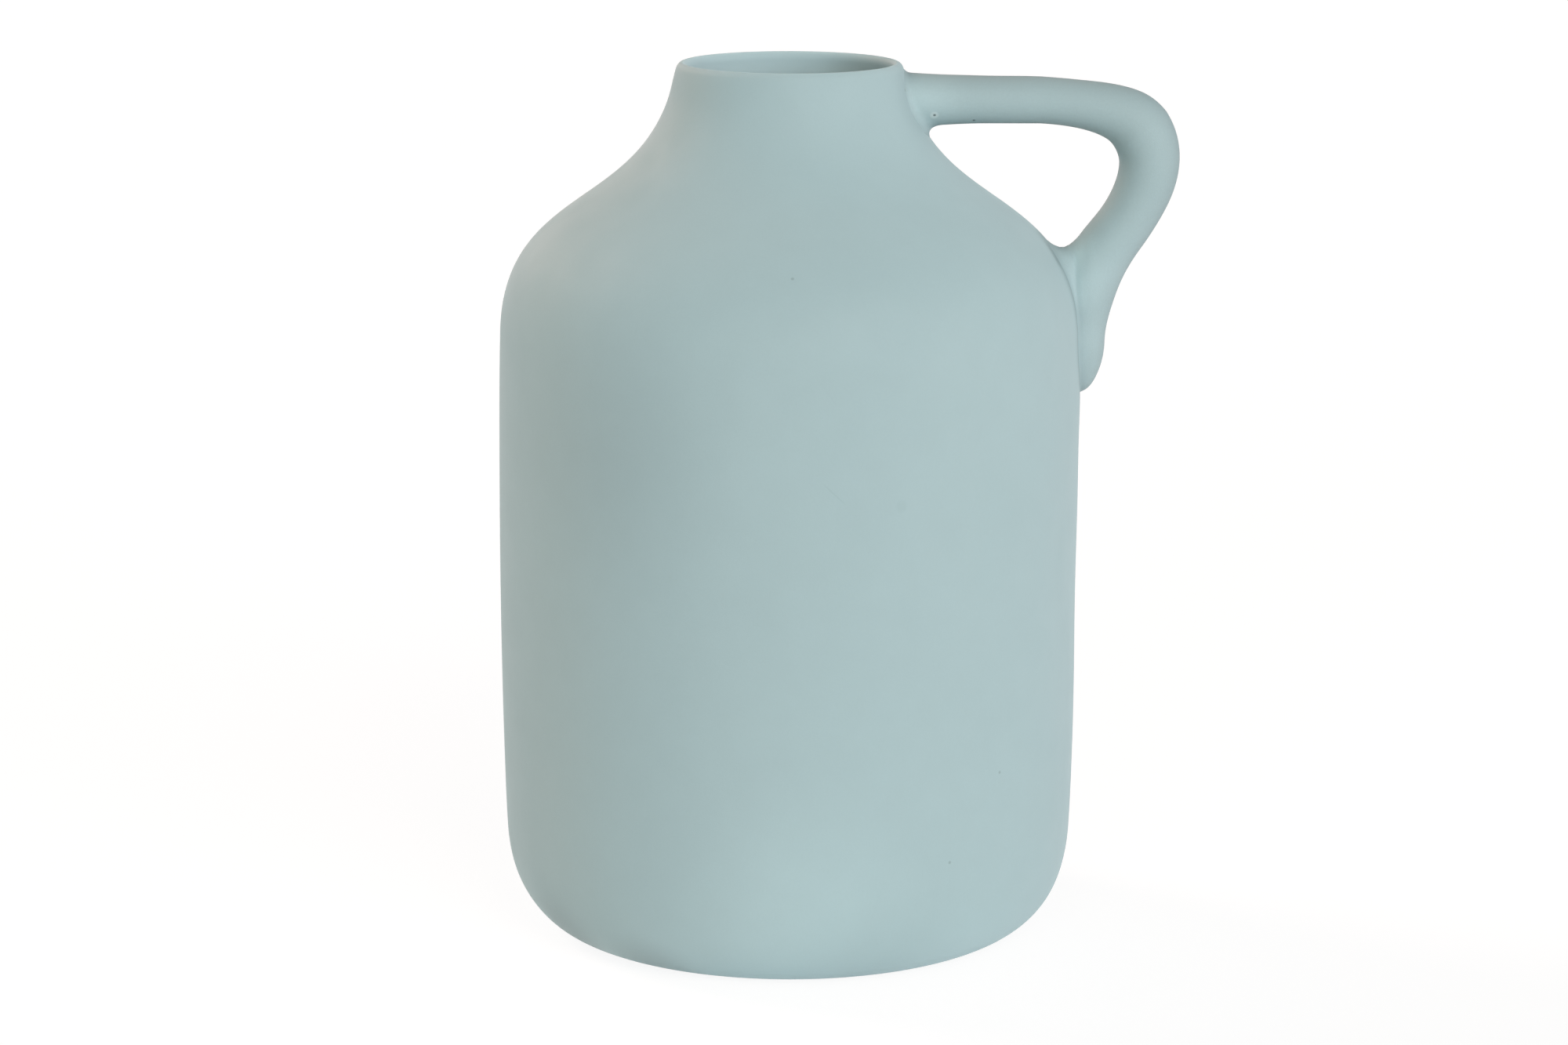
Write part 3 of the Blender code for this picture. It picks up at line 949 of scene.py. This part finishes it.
def build_pot(seam_points):
    """The pot in rings from the foot's disc up its outside, over the lip and down its inside."""
    underside = [Vector((FOOT_RADIUS * share, 0)) for share in UNDERSIDE_RINGS]
    outer = outside()
    profile = underside + outer + inside()[1:]
    first_outer = len(underside)
    after_outer = first_outer + len(outer)
    angles = pot_angles()
    columns = len(angles)
    rings = []
    for index, place in enumerate(profile):
        radius = np.full(columns, place.x)
        z = np.full(columns, place.y)
        if index >= first_outer:
            radius += swelling(angles, z)
        if first_outer <= index < after_outer:
            radius -= FRAME_MARGIN
        rings.append(np.stack([radius * np.cos(angles), radius * np.sin(angles), z], axis=1))
    points = np.concatenate(rings + [[(0, 0, 0), (0, 0, FLOOR_THICKNESS)]])
    foot_centre = len(rings) * columns
    skin = slice(first_outer * columns, after_outer * columns)
    seam_shade = np.zeros(len(points))
    # Painted shade on the pot near the seams
    seam_shade[skin] = painted_seam_shade(points[skin], seam_points)
    # Painted light inside the mouth
    inside_painted_light = np.interp(points[:, 0], *INSIDE_PAINTED_LIGHT_ACROSS) * np.interp(points[:, 2], *INSIDE_PAINTED_LIGHT_UP)
    inside_painted_light[:skin.stop] = 0
    inside_painted_light[foot_centre] = 0
    layers = {"seam_shade": seam_shade, "inside": inside_painted_light}
    faces = pot_faces(len(rings), columns)
    materials = [pot_glaze(), bare_clay()]
    item = piece("glazed_pot", points, faces, materials, "vase_body", layers)
    for polygon in item.data.polygons:
        x, y, z = polygon.center
        if z < UNDERSIDE_HEIGHT and math.hypot(x, y) < glaze_stop(math.atan2(y, x)):
            polygon.material_index = 1
    item.data.set_sharp_from_angle(angle=SHARP_ANGLE)


# Stage

FLOOR_RADIUS = 12.0
FLOOR_CORNERS = 48
FLOOR_DROP = 0.0003
FLOOR_PALE = (0.91, 0.91, 0.91, 1.0)
FLOOR_SHADE = (0.20, 0.20, 0.20, 1.0)
FLOOR_GLOW = 0.89
WHITE = (1.0, 1.0, 1.0, 1.0)
WORLD_LEVEL = 0.22


def build_floor():
    """A floor that lights the pot as a pale one, and looks white but for the pot's shadow."""
    nodes = Nodes(bpy.data.materials.new("pale_floor"))
    pale = nodes.joined("ShaderNodeBsdfDiffuse", FLOOR_PALE)
    shade = nodes.joined("ShaderNodeBsdfDiffuse", FLOOR_SHADE)
    glow = nodes.joined("ShaderNodeEmission", WHITE, FLOOR_GLOW)
    shown = nodes.joined("ShaderNodeAddShader", glow, shade)
    either = nodes.joined("ShaderNodeMixShader", nodes.seen_as_background(), pale, shown)
    nodes.show("ShaderNodeOutputMaterial", either)
    corners = []
    for index in range(FLOOR_CORNERS):
        angle = math.tau * index / FLOOR_CORNERS
        corners.append((FLOOR_RADIUS * math.cos(angle), FLOOR_RADIUS * math.sin(angle), -FLOOR_DROP))
    mesh = bpy.data.meshes.new("floor")
    mesh.from_pydata(corners, [], [tuple(range(FLOOR_CORNERS))])
    mesh.materials.append(nodes.owner)
    floor = bpy.data.objects.new("floor", mesh)
    bpy.context.scene.collection.objects.link(floor)


def build_world():
    """A plain room that looks white."""
    world = bpy.data.worlds.new("studio")
    bpy.context.scene.world = world
    nodes = Nodes(world)
    room = nodes.joined("ShaderNodeBackground", WHITE, WORLD_LEVEL)
    white = nodes.joined("ShaderNodeBackground", WHITE, 1.0)
    either = nodes.joined("ShaderNodeMixShader", nodes.seen_as_background(), room, white)
    nodes.show("ShaderNodeOutputWorld", either)


# Lamps: name, degrees round from front to handle, degrees up, strength, colour, and degrees wide
LAMPS = (
    ("low_left", -20, 9, 0.78, (0.93, 1.00, 0.95), 22),
    ("low_right", 40, 9, 1.08, (0.56, 0.80, 1.00), 22),
    ("side_right", 60, 9, 0.72, (1.00, 0.81, 0.69), 22),
    ("high_front", 20, 32, 0.72, (1.00, 0.80, 0.66), 22),
    ("rim_left", -120, 32, 1.18, (1.00, 0.75, 0.66), 22),
    ("warm_rim", -150, 8, 0.40, (1.00, 0.58, 0.50), 50),
)


def build_lamps():
    for name, around, up, strength, colour, width in LAMPS:
        lamp = bpy.data.lights.new(name, "SUN")
        lamp.energy = strength
        lamp.color = colour
        lamp.angle = math.radians(width)
        item = bpy.data.objects.new(name, lamp)
        around, up = math.radians(around), math.radians(up)
        way = Vector((math.cos(up) * math.sin(around), -math.cos(up) * math.cos(around), math.sin(up)))
        item.rotation_euler = way.to_track_quat("Z", "Y").to_euler()
        item.location = way
        bpy.context.scene.collection.objects.link(item)


# Camera, at the photograph's place and angle
CAMERA_PLACE = Vector((0, -1.5, 0.4563))
CAMERA_FOCAL_PIXELS = 5658
PHOTO_WIDTH_PIXELS = 2000
SENSOR_WIDTH = 36.0
CAMERA_TILT = 0.20728
CAMERA_PAN = -0.00111
CAMERA_ROLL = 0.00218
CAMERA_FAR_LIMIT = 100


def build_camera():
    camera = bpy.data.cameras.new("camera")
    camera.sensor_width = SENSOR_WIDTH
    camera.sensor_fit = "HORIZONTAL"
    camera.lens = CAMERA_FOCAL_PIXELS / PHOTO_WIDTH_PIXELS * SENSOR_WIDTH
    camera.clip_end = CAMERA_FAR_LIMIT
    forward = Vector((math.sin(CAMERA_PAN) * math.cos(CAMERA_TILT),
                      math.cos(CAMERA_PAN) * math.cos(CAMERA_TILT), -math.sin(CAMERA_TILT)))
    level = Vector((math.cos(CAMERA_PAN), -math.sin(CAMERA_PAN), 0))
    upright = level.cross(forward)
    right = level * math.cos(CAMERA_ROLL) + upright * math.sin(CAMERA_ROLL)
    up = upright * math.cos(CAMERA_ROLL) - level * math.sin(CAMERA_ROLL)
    item = bpy.data.objects.new("camera", camera)
    axes = Matrix((right, up, -forward)).transposed()
    item.matrix_world = Matrix.Translation(CAMERA_PLACE) @ axes.to_4x4()
    bpy.context.scene.collection.objects.link(item)
    bpy.context.scene.camera = item


build_camera()
build_pot(build_handle())
build_floor()
build_world()
build_lamps()
bpy.context.scene.view_settings.view_transform = "Standard"

bpy.context.view_layer.update()
